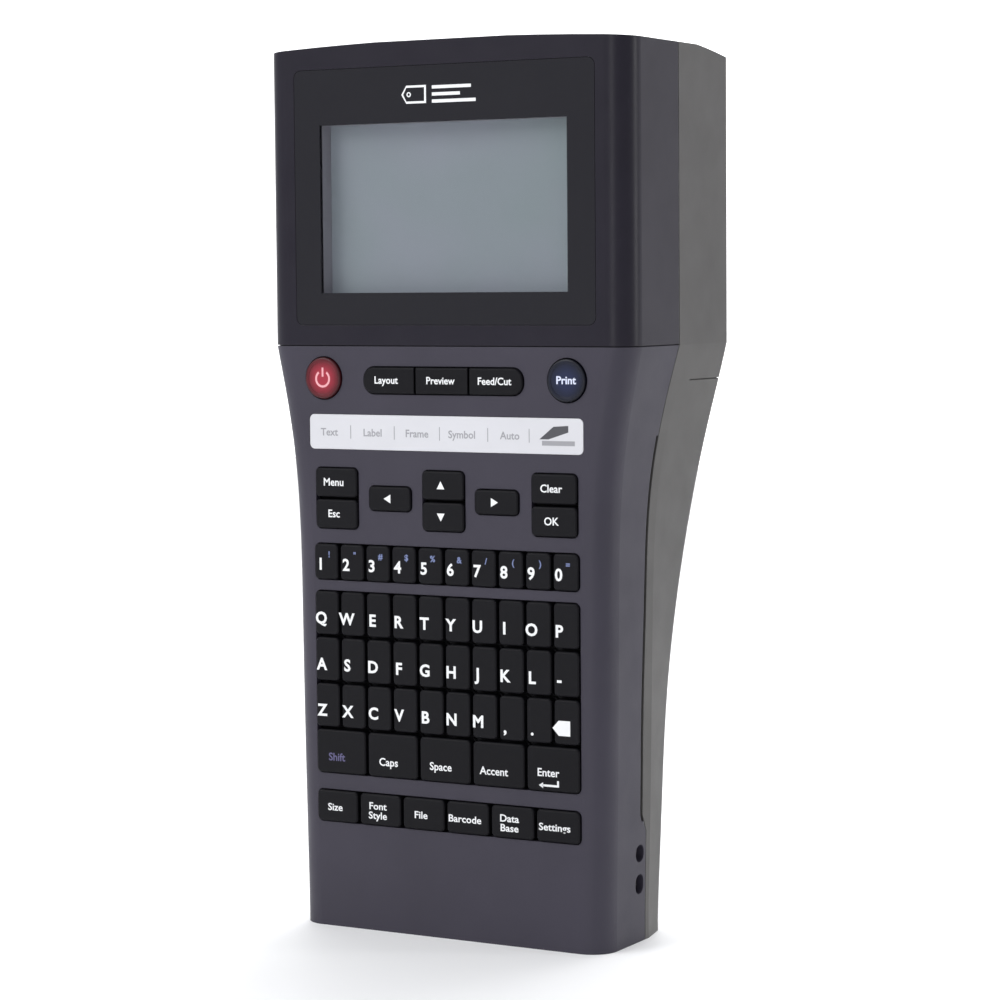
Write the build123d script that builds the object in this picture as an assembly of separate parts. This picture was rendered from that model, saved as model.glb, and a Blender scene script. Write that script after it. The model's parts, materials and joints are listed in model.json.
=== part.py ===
from build123d import *
import math
import os

# Handheld label maker, millimetres. X to the right, the keys face -Y, +Z up.
# It stands on its base, and the origin is the middle of its footprint.

# ---------------------------------------------------------------- driving sizes
HEIGHT = 252.0
FRONT = -31.0              # face of the front case and the display cover
REAR = 31.8                # rearmost face, on the head
HEAD_W = 58.5              # half width of the head
HEAD_Z = 167.2             # seam between front case and display cover
WALL = 2.2                 # moulded wall
SEAM = 0.3                 # gap between two casing pieces
LIP = 1.5                  # lip of the display cover behind the front case
FRONT_R = 7.5              # plan radius of the front corners
HEAD_REAR_R = 2.0          # plan radius of the head's rear corners
CROWN_R = 1000.0           # radius of the top edge seen from the front

# Body stations from the base to the head:
# height, half width, rear face, half width at the rear, where the side starts to taper,
# plan radius of the rear corners
STATIONS = [
    (0.0, 49.8, 9.5, 47.0, -3.8, 5.0),
    (24.0, 50.1, 10.6, 47.4, -3.7, 5.0),
    (48.0, 50.5, 12.1, 47.8, -3.5, 5.0),
    (72.0, 50.8, 15.3, 48.0, -3.3, 5.0),
    (96.0, 51.0, 20.7, 48.6, -2.8, 5.0),
    (120.0, 51.6, 27.3, 49.9, -1.8, 5.0),
    (144.0, 54.0, 31.0, 53.5, 1.4, 4.0),
    (HEAD_Z, 58.5, REAR, 58.5, 5.0, HEAD_REAR_R),
]

# Parting line between the front and rear halves, seen from the side: y, z
PARTING = [(-0.6, HEAD_Z), (-4.4, 141.0), (-6.2, 122.0), (-7.0, 98.0), (-8.2, 74.0), (-8.6, 50.0)]
PARTING_LOW = -6.2         # the parting line at the base, behind the strap holes

# Display
LENS_W, LENS_Z0, LENS_Z1 = 48.3, 173.0, 245.2
LENS_T = 1.1
VIEW_W, VIEW_Z0, VIEW_Z1 = 39.7, 182.1, 229.5
LCD_Y = -25.2              # face of the glass, set back in its recess

# Keys
KEY_PROUD = 0.75           # key top above the case
ROUND_PROUD = 0.8          # rim of a round key above the case
ROUND_DISH = 0.1           # depth of the recess in a round key
KEY_TRAVEL = 0.8
KEY_TOP = FRONT - KEY_PROUD
FLANGE_Y0, FLANGE_Y1 = FRONT + WALL + 0.2, FRONT + WALL + 0.9
MAT_Y0, MAT_Y1 = FLANGE_Y1 + KEY_TRAVEL + 0.05, FLANGE_Y1 + KEY_TRAVEL + 1.45
BOARD_Y0, BOARD_Y1 = MAT_Y1 + 0.3, MAT_Y1 + 1.9
KEY_GAP = 0.3              # between a key and its window

ROUND_R = 6.2
ROUND_X, ROUND_Z = 39.3, 158.0
PILL_W, PILL_H, PILL_Z = 52.0, 8.0, 157.5
STRIP_W, STRIP_Z0, STRIP_Z1 = 44.3, 137.7, 147.8
NAV_Z = 124.0
BLOCK_W = 43.0             # half width of the key blocks
DIGIT_Z0, DIGIT_Z1 = 100.2, 110.9
LETTER_Z0, LETTER_Z1 = 44.4, 97.3
FUNCTION_Z0, FUNCTION_Z1 = 30.3, 39.8
COLUMNS = 10

# Mechanism, seen from the front: x, z
PLATEN = (-43.5, 206.0)
PLATEN_R = 5.15
HOLDER_PIVOT = (-46.0, 180.0)
LEVER_PIVOT = (-53.2, 218.0)
MOTOR = (-47.5, 166.0)
MODULE = 0.8
PINION_T, REDUCTION_T, REDUCTION_SMALL_T = 12, 48, 18
DRIVE_T, PLATEN_T, RIBBON_T = 45, 12, 15
TAKEUP_ANGLE = math.radians(-75.0)
LAYER_A = (-8.5, -5.0)     # pinion and large reduction gear
LAYER_B = (-4.5, -1.0)     # the other gears
POST_R = 1.5
RUNNING = 0.05             # radial clearance of a running fit
PLATE = (0.0, 1.6)         # chassis plate

# Tape cassette
CAS_X0, CAS_X1, CAS_Z0, CAS_Z1 = -37.4, 41.6, 165.0, 227.0
CAS_Y0, CAS_Y1 = 2.0, 28.6
CAS_WALL = 1.4
NOTCH_X, NOTCH_Z0, NOTCH_Z1 = -26.0, 192.0, 220.0
ROLL = (17.0, 196.0)
ROLL_R = 22.0
SUPPLY = (-14.0, 212.0)

# Rear covers
DOOR_W, DOOR_Z1 = 50.0, 245.2
HINGE_Y, HINGE_Z, HINGE_R = 29.0, 160.0, 2.8
COVER_Z0, COVER_Z1 = 14.0, HINGE_Z - HINGE_R - SEAM
COVER_W = 44.6
PIN_R = 1.2

# Batteries
CELL_R, CELL_L, CELL_PITCH, CELLS = 7.2, 49.5, 14.7, 6
CELL_Y, CELL_Z0 = 0.0, 19.0

# Cutter
CUTTER_PIVOT = (-46.0, -4.0)
CUT_Z = 240.0


# ---------------------------------------------------------------- shape helpers
def block(x0, x1, y0, y1, z0, z1):
    return Pos((x0 + x1) / 2, (y0 + y1) / 2, (z0 + z1) / 2) * Box(x1 - x0, y1 - y0, z1 - z0)


def along_y(x, z, r, y0, y1):
    return Pos(x, (y0 + y1) / 2, z) * Rot(90, 0, 0) * Cylinder(r, y1 - y0)


def along_x(y, z, r, x0, x1):
    return Pos((x0 + x1) / 2, y, z) * Rot(0, 90, 0) * Cylinder(r, x1 - x0)


def along_z(x, y, r, z0, z1):
    return Pos(x, y, (z0 + z1) / 2) * Cylinder(r, z1 - z0)


def prism_y(sketch, y0, y1):
    return extrude(Plane.XZ.offset(-y1) * sketch, amount=y1 - y0)


def prism_x(sketch, x0, x1):
    return extrude(Plane.YZ.offset(x0) * sketch, amount=x1 - x0)


def rounded(x0, x1, z0, z1, r, y0, y1):
    return prism_y(Pos((x0 + x1) / 2, (z0 + z1) / 2) * RectangleRounded(x1 - x0, z1 - z0, r), y0, y1)


def polygon(points):
    return make_face(Polyline(*points, close=True))


def station_at(z):
    """Body sizes at any height, between the two stations around it."""
    for low, high in zip(STATIONS, STATIONS[1:]):
        if z <= high[0]:
            t = (z - low[0]) / (high[0] - low[0])
            return [a + t * (b - a) for a, b in zip(low, high)]
    return list(STATIONS[-1])


def section(station, inset):
    """Plan outline of the body at one height, moved in from the skin by inset."""
    z, half, rear, rear_half, taper_y, rear_r = station
    half, rear, rear_half, front = half - inset, rear - inset, rear_half - inset, FRONT + inset
    outline = polygon([
        (-half, front), (half, front), (half, taper_y),
        (rear_half, rear), (-rear_half, rear), (-half, taper_y)])
    at_front = [v for v in outline.vertices() if v.Y < front + 0.1]
    outline = fillet(at_front, FRONT_R - inset)
    at_rear = [v for v in outline.vertices() if v.Y > rear - 0.1]
    outline = fillet(at_rear, max(rear_r - inset, 0.4))
    return Pos(0, 0, z) * outline


def top_profile(drop):
    """Everything under the top, which falls away to the rear and towards both sides."""
    line = Line((-40, -5), (-40, 251.7 - drop))
    arc = ThreePointArc((-40, 251.7 - drop), (-10, HEIGHT - drop), (REAR + 3, 247.4 - drop))
    rest = Polyline((REAR + 3, 247.4 - drop), (REAR + 3, -5), (-40, -5))
    face = make_face([line, arc, *rest.edges()])
    crown = along_y(0, HEIGHT + 0.3 - CROWN_R, CROWN_R - drop, -40, 40) & block(-70, 70, -40, 40, -5, 260)
    return prism_x(face, -70, 70) & crown


def body_solid(inset):
    """The whole outer form, or the same form moved in by inset."""
    stations = [station_at(inset)] + STATIONS[1:]
    lower = loft([section(s, inset) for s in stations])
    head = extrude(section(STATIONS[-1], inset), amount=HEIGHT - HEAD_Z + 2)
    return (lower + head) & top_profile(inset)


def parting_region(front_side, shift):
    """Everything in front of, or behind, the parting line."""
    line = [(y + shift, z) for y, z in PARTING]
    curve = Spline(*line)
    low = [(PARTING[-1][0] + shift, 36.0), (PARTING_LOW + shift, 31.0), (PARTING_LOW + shift, -5.0)]
    far = -60.0 if front_side else 60.0
    border = Polyline(line[-1], *low, (far, -5.0), (far, 260.0), (line[0][0], 260.0), line[0])
    return prism_x(make_face([*curve.edges(), *border.edges()]), -70, 70)


def coil(radius, wire, length, turns, leg=0.0):
    """A round-wire spring standing on the origin along Z, with straight legs if asked."""
    path = Helix(pitch=(length - 2 * wire) / turns, height=length - 2 * wire, radius=radius)
    if leg:
        lead_in = Edge.make_line(path @ 0 - (path % 0) * leg, path @ 0)
        lead_out = Edge.make_line(path @ 1, path @ 1 + (path % 1) * leg)
        path = Wire([lead_in, path.edge(), lead_out])
    start = Plane(origin=path @ 0, z_dir=path % 0)
    return Pos(0, 0, wire) * sweep(start * Circle(wire), path=path)


def mesh_phase(phase, teeth, direction, next_teeth):
    """Angle of a tooth of the next gear that meshes with a tooth at phase."""
    turned = (direction - phase) * teeth / next_teeth
    return direction + math.pi + turned + math.pi / next_teeth


def involute(angle):
    return math.tan(angle) - angle


def gear(centre, teeth, phase, y0, y1):
    """A spur gear with 20 degree involute flanks and a little backlash."""
    pitch_r = MODULE * teeth / 2
    base_r = pitch_r * math.cos(math.radians(20))
    tip_r, root_r = pitch_r + 0.9 * MODULE, pitch_r - 1.2 * MODULE
    half_tooth = math.pi / (2 * teeth) - 0.06 / pitch_r
    at_pitch = involute(math.radians(20))
    flank = []
    for step in range(4):
        r = max(base_r, root_r) + (tip_r - max(base_r, root_r)) * step / 3
        flank.append((r, half_tooth + at_pitch - involute(math.acos(min(1.0, base_r / r)))))
    if root_r < base_r:
        flank.insert(0, (root_r, flank[0][1]))
    points = []
    for tooth in range(teeth):
        middle = phase + 2 * math.pi * tooth / teeth
        points += [(r, middle - a) for r, a in flank]
        points += [(r, middle + a) for r, a in reversed(flank)]
    outline = [(centre[0] + r * math.cos(a), centre[1] + r * math.sin(a)) for r, a in points]
    return prism_y(polygon(outline), y0, y1)


def direction(start, end):
    return math.atan2(end[1] - start[1], end[0] - start[0])


def save(name, shape):
    export_step(shape, os.path.join("parts", name + ".step"))


# ---------------------------------------------------------------- gear train places
DRIVE = (PLATEN[0] + MODULE * (DRIVE_T + PLATEN_T) / 2, PLATEN[1])
TAKEUP_D = MODULE * (DRIVE_T + RIBBON_T) / 2
TAKEUP = (DRIVE[0] + TAKEUP_D * math.cos(TAKEUP_ANGLE), DRIVE[1] + TAKEUP_D * math.sin(TAKEUP_ANGLE))


def reduction_place():
    """Where the reduction gear meshes with both the pinion and the drive gear."""
    to_pinion = MODULE * (PINION_T + REDUCTION_T) / 2
    to_drive = MODULE * (REDUCTION_SMALL_T + DRIVE_T) / 2
    span = math.dist(MOTOR, DRIVE)
    along = (to_pinion ** 2 - to_drive ** 2 + span ** 2) / (2 * span)
    aside = math.sqrt(to_pinion ** 2 - along ** 2)
    ux, uz = (DRIVE[0] - MOTOR[0]) / span, (DRIVE[1] - MOTOR[1]) / span
    return (MOTOR[0] + along * ux + aside * uz, MOTOR[1] + along * uz - aside * ux)


REDUCTION = reduction_place()


# ---------------------------------------------------------------- keys
def key_cap(x0, x1, z0, z1, r, flange):
    """One key: a cap with softened top edges on a flange that stays behind the case."""
    cap = rounded(x0, x1, z0, z1, r, KEY_TOP, FLANGE_Y1)
    top = cap.faces().sort_by(Axis.Y)[0]
    cap = chamfer(top.edges(), 0.35)
    foot = rounded(x0 - flange, x1 + flange, z0 - flange, z1 + flange, r, FLANGE_Y0, FLANGE_Y1)
    return cap + foot


def round_key(x, z):
    cap = along_y(x, z, ROUND_R - KEY_GAP, FRONT - ROUND_PROUD, FLANGE_Y1)
    cap = fillet(cap.faces().sort_by(Axis.Y)[0].edges(), 0.5)
    cap -= along_y(x, z, ROUND_R - KEY_GAP - 1.2, FRONT - 2, FRONT - ROUND_PROUD + ROUND_DISH)
    return cap + along_y(x, z, ROUND_R + 0.5, FLANGE_Y0, FLANGE_Y1)


def split_span(x0, x1, count, gap):
    """Equal keys side by side between two window edges."""
    width = (x1 - x0 - gap * (count - 1)) / count
    return [(x0 + i * (width + gap), x0 + i * (width + gap) + width) for i in range(count)]


def key_row(z0, z1, count):
    spans = split_span(-BLOCK_W + KEY_GAP, BLOCK_W - KEY_GAP, count, 0.9)
    return [key_cap(x0, x1, z0, z1, 1.2, 0.3) for x0, x1 in spans]


# single keys: window x0, x1, z0, z1 and the keys that share it
NAV_WINDOWS = {
    "left_block": (-42.4, -28.0, 114.9, 132.7),
    "left_arrow": (-24.6, -10.3, 120.4, 127.8),
    "up_down": (-7.0, 7.0, 115.2, 132.6),
    "right_arrow": (10.0, 24.3, 120.4, 127.8),
    "right_block": (28.0, 42.6, 114.9, 132.7),
}


def upper_half(window):
    x0, x1, z0, z1 = window
    return (x0 + KEY_GAP, x1 - KEY_GAP, (z0 + z1) / 2 + 0.4, z1 - KEY_GAP)


def lower_half(window):
    x0, x1, z0, z1 = window
    return (x0 + KEY_GAP, x1 - KEY_GAP, z0 + KEY_GAP, (z0 + z1) / 2 - 0.4)


def whole(window):
    x0, x1, z0, z1 = window
    return (x0 + KEY_GAP, x1 - KEY_GAP, z0 + KEY_GAP, z1 - KEY_GAP)


def make_keys():
    save("power_key", round_key(-ROUND_X, ROUND_Z))
    save("print_key", round_key(ROUND_X, ROUND_Z))

    pill_z = (PILL_Z - PILL_H / 2 + KEY_GAP, PILL_Z + PILL_H / 2 - KEY_GAP)
    ends = (-PILL_W / 2 + KEY_GAP, PILL_W / 2 - KEY_GAP)
    pill = key_cap(*ends, *pill_z, 3.2, 0.3)
    for name, (x0, x1) in zip(["layout_key", "preview_key", "feed_key"], split_span(*ends, 3, 0.7)):
        x0 = x0 if x0 > ends[0] else x0 - 1
        x1 = x1 if x1 < ends[1] else x1 + 1
        save(name, pill & block(x0, x1, -40, 0, 140, 170))

    halves = {
        "menu_key": upper_half(NAV_WINDOWS["left_block"]),
        "escape_key": lower_half(NAV_WINDOWS["left_block"]),
        "left_key": whole(NAV_WINDOWS["left_arrow"]),
        "up_key": upper_half(NAV_WINDOWS["up_down"]),
        "down_key": lower_half(NAV_WINDOWS["up_down"]),
        "right_key": whole(NAV_WINDOWS["right_arrow"]),
        "clear_key": upper_half(NAV_WINDOWS["right_block"]),
        "ok_key": lower_half(NAV_WINDOWS["right_block"]),
    }
    for name, (x0, x1, z0, z1) in halves.items():
        save(name, key_cap(x0, x1, z0, z1, 1.2, 0.25))

    save("digit_keys", Compound(key_row(DIGIT_Z0 + KEY_GAP, DIGIT_Z1 - KEY_GAP, COLUMNS)))
    row_gap = 0.9
    row_h = (LETTER_Z1 - LETTER_Z0 - 2 * KEY_GAP - 3 * row_gap) / 4
    rows = ["letter_keys_top", "letter_keys_middle", "letter_keys_bottom", "modifier_keys"]
    for index, name in enumerate(rows):
        z1 = LETTER_Z1 - KEY_GAP - index * (row_h + row_gap)
        count = COLUMNS if index < 3 else COLUMNS // 2
        save(name, Compound(key_row(z1 - row_h, z1, count)))
    save("function_keys", Compound(key_row(FUNCTION_Z0 + KEY_GAP, FUNCTION_Z1 - KEY_GAP, 6)))


# ---------------------------------------------------------------- casing
BOTTOM_SCREWS = [(-36.0, 7.5), (36.0, 7.5)]
TOP_SCREWS = [(-20.0, 240.5), (20.0, 240.5)]
SCREW_R, SCREW_HEAD_R = 1.4, 2.6
EYELETS = [(13.7, 19.2), (22.7, 27.6)]
EYELET_Y, EYELET_R = (-12.3, -7.5), 2.2
JACK_Y, JACK_Z = -18.2, 100.0
USB_Y, USB_Z = -20.4, 84.0
PAD_Y, PAD_Z = (4.4, 25.2), (230.5, 245.0)


def key_windows():
    cuts = [along_y(x, ROUND_Z, ROUND_R, FRONT - 1, FRONT + WALL + 1) for x in (-ROUND_X, ROUND_X)]
    outlines = [(-PILL_W / 2, PILL_W / 2, PILL_Z - PILL_H / 2, PILL_Z + PILL_H / 2, 3.6)]
    outlines += [(*window, 1.8) for window in NAV_WINDOWS.values()]
    for z0, z1 in ((DIGIT_Z0, DIGIT_Z1), (LETTER_Z0, LETTER_Z1), (FUNCTION_Z0, FUNCTION_Z1)):
        outlines.append((-BLOCK_W, BLOCK_W, z0, z1, 1.8))
    for x0, x1, z0, z1, r in outlines:
        cuts.append(rounded(x0, x1, z0, z1, r, FRONT - 1, FRONT + WALL + 1))
    return cuts


def make_front_case(shell, skin):
    case = shell & parting_region(True, -SEAM / 2) & block(-70, 70, -60, 60, -5, HEAD_Z - SEAM / 2)
    case -= body_slab & block(-70, 70, -60, 60, HEAD_Z - LIP - 0.15, HEAD_Z)
    case -= key_windows()
    case -= rounded(-STRIP_W, STRIP_W, STRIP_Z0, STRIP_Z1, 1.6, FRONT - 1, FRONT + 0.5)
    groove = skin & parting_region(True, 0.4) & block(-70, 70, -60, 60, 34, 142)
    groove -= parting_region(True, -1.3)
    case -= groove
    for z0, z1 in EYELETS:
        case -= rounded_x(EYELET_Y[0], EYELET_Y[1], z0, z1, EYELET_R, 44, 60)
    case -= along_x(JACK_Y, JACK_Z, 4.3, -60, -44)
    case -= rounded_x(USB_Y - 2.3, USB_Y + 2.3, USB_Z - 4.4, USB_Z + 4.4, 0.8, -60, -44)
    for x, z in BOTTOM_SCREWS:
        boss = along_y(x, z, 3.4, FRONT + 1, PARTING_LOW - 0.4)
        case += boss & body_slab
        case -= along_y(x, z, SCREW_R + 0.02, -22, 0)
    save("front_case", case)


def rounded_x(y0, y1, z0, z1, r, x0, x1):
    return prism_x(Pos((y0 + y1) / 2, (z0 + z1) / 2) * RectangleRounded(y1 - y0, z1 - z0, r), x0, x1)


def make_display_cover(shell):
    cover = shell & parting_region(True, -SEAM / 2)
    lip = cover & body_solid(0.7) & block(-70, 70, -60, 60, HEAD_Z - LIP, HEAD_Z + 1)
    cover = (cover & block(-70, 70, -60, 60, HEAD_Z + SEAM / 2, HEIGHT + 5)) + lip
    cover -= rounded(-LENS_W, LENS_W, LENS_Z0, LENS_Z1, 2.2, FRONT - 1, FRONT + LENS_T + 0.1)
    cover -= block(-43.4, 43.4, FRONT - 1, FRONT + WALL + 1, 178.2, 233.4)
    for x, z in TOP_SCREWS:
        cover += along_y(x, z, 3.4, FRONT + WALL - 0.5, -0.9)
        cover -= along_y(x, z, SCREW_R + 0.02, -14, 0)
    save("display_cover", cover)


def cover_outline(grow):
    top, neck = DOOR_W, 108.0
    return polygon([
        (-COVER_W - grow, COVER_Z0 - grow), (COVER_W + grow, COVER_Z0 - grow),
        (COVER_W + grow, neck), (top + grow, COVER_Z1 + grow),
        (-top - grow, COVER_Z1 + grow), (-COVER_W - grow, neck)])


def make_rear_case(shell, inner):
    case = shell & parting_region(False, SEAM / 2)
    door_hole = block(-DOOR_W - SEAM, DOOR_W + SEAM, 20, 40, COVER_Z1, DOOR_Z1 + SEAM)
    case -= door_hole
    case -= prism_y(cover_outline(SEAM), 2.0, 40)
    case -= skin_shallow & block(-70, 70, 10, 40, COVER_Z1, COVER_Z1 + SEAM)

    ears = block(-57, -DOOR_W - SEAM, 26, 31, 157.4, 163) + block(DOOR_W + SEAM, 57, 26, 31, 157.4, 163)
    case += ears & body_slab
    case -= along_x(HINGE_Y, HINGE_Z, PIN_R + 0.02, -54.6, 54.6)

    tray = block(-47, 47, -9.6, 20, 15.0, 74.0) & inner
    tray -= block(-45.4, 45.4, -8.2, 40, 16.4, 72.6)
    tray -= prism_y(cover_outline(SEAM), 2.0, 40)
    case += tray

    for x, z in BOTTOM_SCREWS:
        boss = along_y(x, z, 3.6, PARTING_LOW + 0.2, 9.2)
        case += boss & body_slab
        case -= along_y(x, z, SCREW_R + 0.1, -10, 20)
        case -= along_y(x, z, SCREW_HEAD_R + 0.15, 7.0, 20)
    for x, z in TOP_SCREWS:
        case += block(x - 5, x + 5, PLATE[1] + 0.1, 8, z - 4.5, 249) & body_slab
        case -= along_y(x, z, SCREW_R + 0.1, -2, 20)
        case -= along_y(x, z, SCREW_HEAD_R + 0.15, 6.0, 20)

    ledge_y = (PLATE[1] + 0.1, 5.0)
    case += block(-57, -54.2, *ledge_y, 184, 204) & body_slab
    case += block(54.2, 57, *ledge_y, 176, 232) & body_slab

    case -= rounded_x(PAD_Y[0] - 0.6, PAD_Y[1] + 1.9, PAD_Z[0] - 0.5, PAD_Z[1] + 0.5, 1.5, -62, -50)
    case -= block(-39.4, -37.2, 2.4, 27.6, 240, 260)
    save("rear_case", case)


def make_tape_door(shell):
    door = shell & block(-DOOR_W, DOOR_W, REAR - WALL - 0.1, 40, HINGE_Z, DOOR_Z1)
    door += along_x(HINGE_Y, HINGE_Z, HINGE_R, -DOOR_W, DOOR_W)
    for x in (-30.0, 0.0, 30.0):
        door += block(x - 0.7, x + 0.7, 28.95, REAR - WALL + 0.2, 168, 240)
    door += block(-8, 8, 25.4, REAR - WALL + 0.2, 242.6, 244.0)
    door += block(-8, 8, 25.4, 26.6, 242.6, 244.9)
    door -= along_x(HINGE_Y, HINGE_Z, PIN_R + RUNNING, -DOOR_W - 1, -DOOR_W + 5)
    door -= along_x(HINGE_Y, HINGE_Z, PIN_R + RUNNING, DOOR_W - 5, DOOR_W + 1)
    finger = rounded(-12, 12, 236.0, 240.0, 1.9, REAR - 0.9, REAR + 1)
    door -= finger
    save("tape_door", door)
    pins = [along_x(HINGE_Y, HINGE_Z, PIN_R, s * 50 - 4.4, s * 50 + 4.4) for s in (-1, 1)]
    save("hinge_pins", Compound(pins))


def make_battery_cover(shell):
    cover = shell & prism_y(cover_outline(0), 2.3, 40)
    for i in range(5):
        z = 142.0 - 3.0 * i
        cover -= rounded(-16, 16, z, z + 1.4, 0.6, 20, 40) & skin_shallow
    save("battery_cover", cover)


def make_small_casing():
    save("display_window", rounded(
        -LENS_W + 0.12, LENS_W - 0.12, LENS_Z0 + 0.12, LENS_Z1 - 0.12, 2.1, FRONT, FRONT + LENS_T))
    save("legend_strip", rounded(
        -STRIP_W + 0.1, STRIP_W - 0.1, STRIP_Z0 + 0.1, STRIP_Z1 - 0.1, 1.5, FRONT, FRONT + 0.48))
    screws = []
    for x, z in BOTTOM_SCREWS:
        screws.append(along_y(x, z, SCREW_R, -20, 7.1) + along_y(x, z, SCREW_HEAD_R, 7.05, 8.4))
    for x, z in TOP_SCREWS:
        screws.append(along_y(x, z, SCREW_R, -12, 6.1) + along_y(x, z, SCREW_HEAD_R, 6.05, 7.6))
    save("case_screws", Compound([s - screw_slot(s) for s in screws]))


def screw_slot(screw):
    box = screw.bounding_box()
    x, z = (box.min.X + box.max.X) / 2, (box.min.Z + box.max.Z) / 2
    cross = block(x - 1.6, x + 1.6, box.max.Y - 0.8, box.max.Y + 1, z - 0.35, z + 0.35)
    return cross + block(x - 0.35, x + 0.35, box.max.Y - 0.8, box.max.Y + 1, z - 1.6, z + 1.6)


# ---------------------------------------------------------------- display and boards
def make_electronics():
    bezel = block(-43.2, 43.2, FRONT + LENS_T + 0.1, LCD_Y - 0.05, 178.4, 233.2)
    bezel -= block(-VIEW_W, VIEW_W, -40, 0, VIEW_Z0, VIEW_Z1)
    save("lcd_bezel", bezel)
    save("lcd_panel", block(-43.0, 43.0, LCD_Y, LCD_Y + 3.6, 178.6, 233.0))

    mat = block(-46.6, 46.6, MAT_Y0, MAT_Y1, 27.5, 134.5)
    mat += block(-46.8, 46.8, MAT_Y0, MAT_Y1, 134.0, 166.0)
    save("keypad_mat", mat)
    key_board = block(-46.6, 46.6, BOARD_Y0, BOARD_Y1, 27.5, 166.0)
    save("key_board", key_board)

    main_board = block(-47.5, 47.5, -18.6, -17.0, 112, 234)
    for x, z, w, h, t in ((-22, 140, 18, 18, 1.6), (12, 148, 12, 20, 1.4), (24, 190, 14, 10, 1.2),
                          (-6, 172, 9, 9, 1.2), (34, 132, 8, 12, 2.6)):
        main_board += block(x - w / 2, x + w / 2, -17.2, -17.0 + t, z - h / 2, z + h / 2)
    save("main_board", main_board)

    jack = block(-48.2, -37.5, BOARD_Y1 + 0.05, JACK_Y + 4.4, JACK_Z - 4.6, JACK_Z + 4.6)
    jack -= along_x(JACK_Y, JACK_Z, 3.0, -50, -39.5)
    jack += along_x(JACK_Y, JACK_Z, 1.0, -47.4, -38.5)
    save("dc_jack", jack)
    usb = block(-48.2, -39.5, BOARD_Y1 + 0.05, USB_Y + 2.0, USB_Z - 3.9, USB_Z + 3.9)
    usb -= block(-50, -41.0, USB_Y - 1.4, USB_Y + 1.4, USB_Z - 3.3, USB_Z + 3.3)
    usb += block(-47.4, -40.5, USB_Y - 0.4, USB_Y + 0.4, USB_Z - 2.4, USB_Z + 2.4)
    save("usb_port", usb)

    first = -CELL_PITCH * (CELLS - 1) / 2
    cells, contacts = [], []
    for i in range(CELLS):
        x = first + i * CELL_PITCH
        up = i % 2 == 0
        cell = along_z(x, CELL_Y, CELL_R, CELL_Z0, CELL_Z0 + CELL_L - 1.2)
        cell = fillet(cell.edges().filter_by(GeomType.CIRCLE), 0.6)
        nub_z = CELL_Z0 + CELL_L - 1.4
        if up:
            cell += along_z(x, CELL_Y, 2.7, nub_z, CELL_Z0 + CELL_L)
        else:
            cell = Pos(0, 0, 1.2) * cell + along_z(x, CELL_Y, 2.7, CELL_Z0, CELL_Z0 + 1.4)
        cells.append(cell)
        low, high = (16.5, 17.1), (71.9, 72.5)
        flat, sprung = (high, low) if up else (low, high)
        contacts.append(block(x - 5.5, x + 5.5, -6, 6, *flat))
        plate = block(x - 5.5, x + 5.5, -6, 6, *sprung)
        if up:
            spring_z0, spring_l = sprung[1] - 0.2, CELL_Z0 - sprung[1] + 0.15
        else:
            spring_z0, spring_l = CELL_Z0 + CELL_L + 0.05, sprung[0] - CELL_Z0 - CELL_L + 0.15
        ring = along_z(x, CELL_Y, 3.6, spring_z0, spring_z0 + spring_l)
        contacts.append(plate + (ring - along_z(x, CELL_Y, 2.8, spring_z0 - 1, spring_z0 + spring_l + 1)))
    save("batteries", Compound(cells))
    save("battery_contacts", Compound(contacts))


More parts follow.
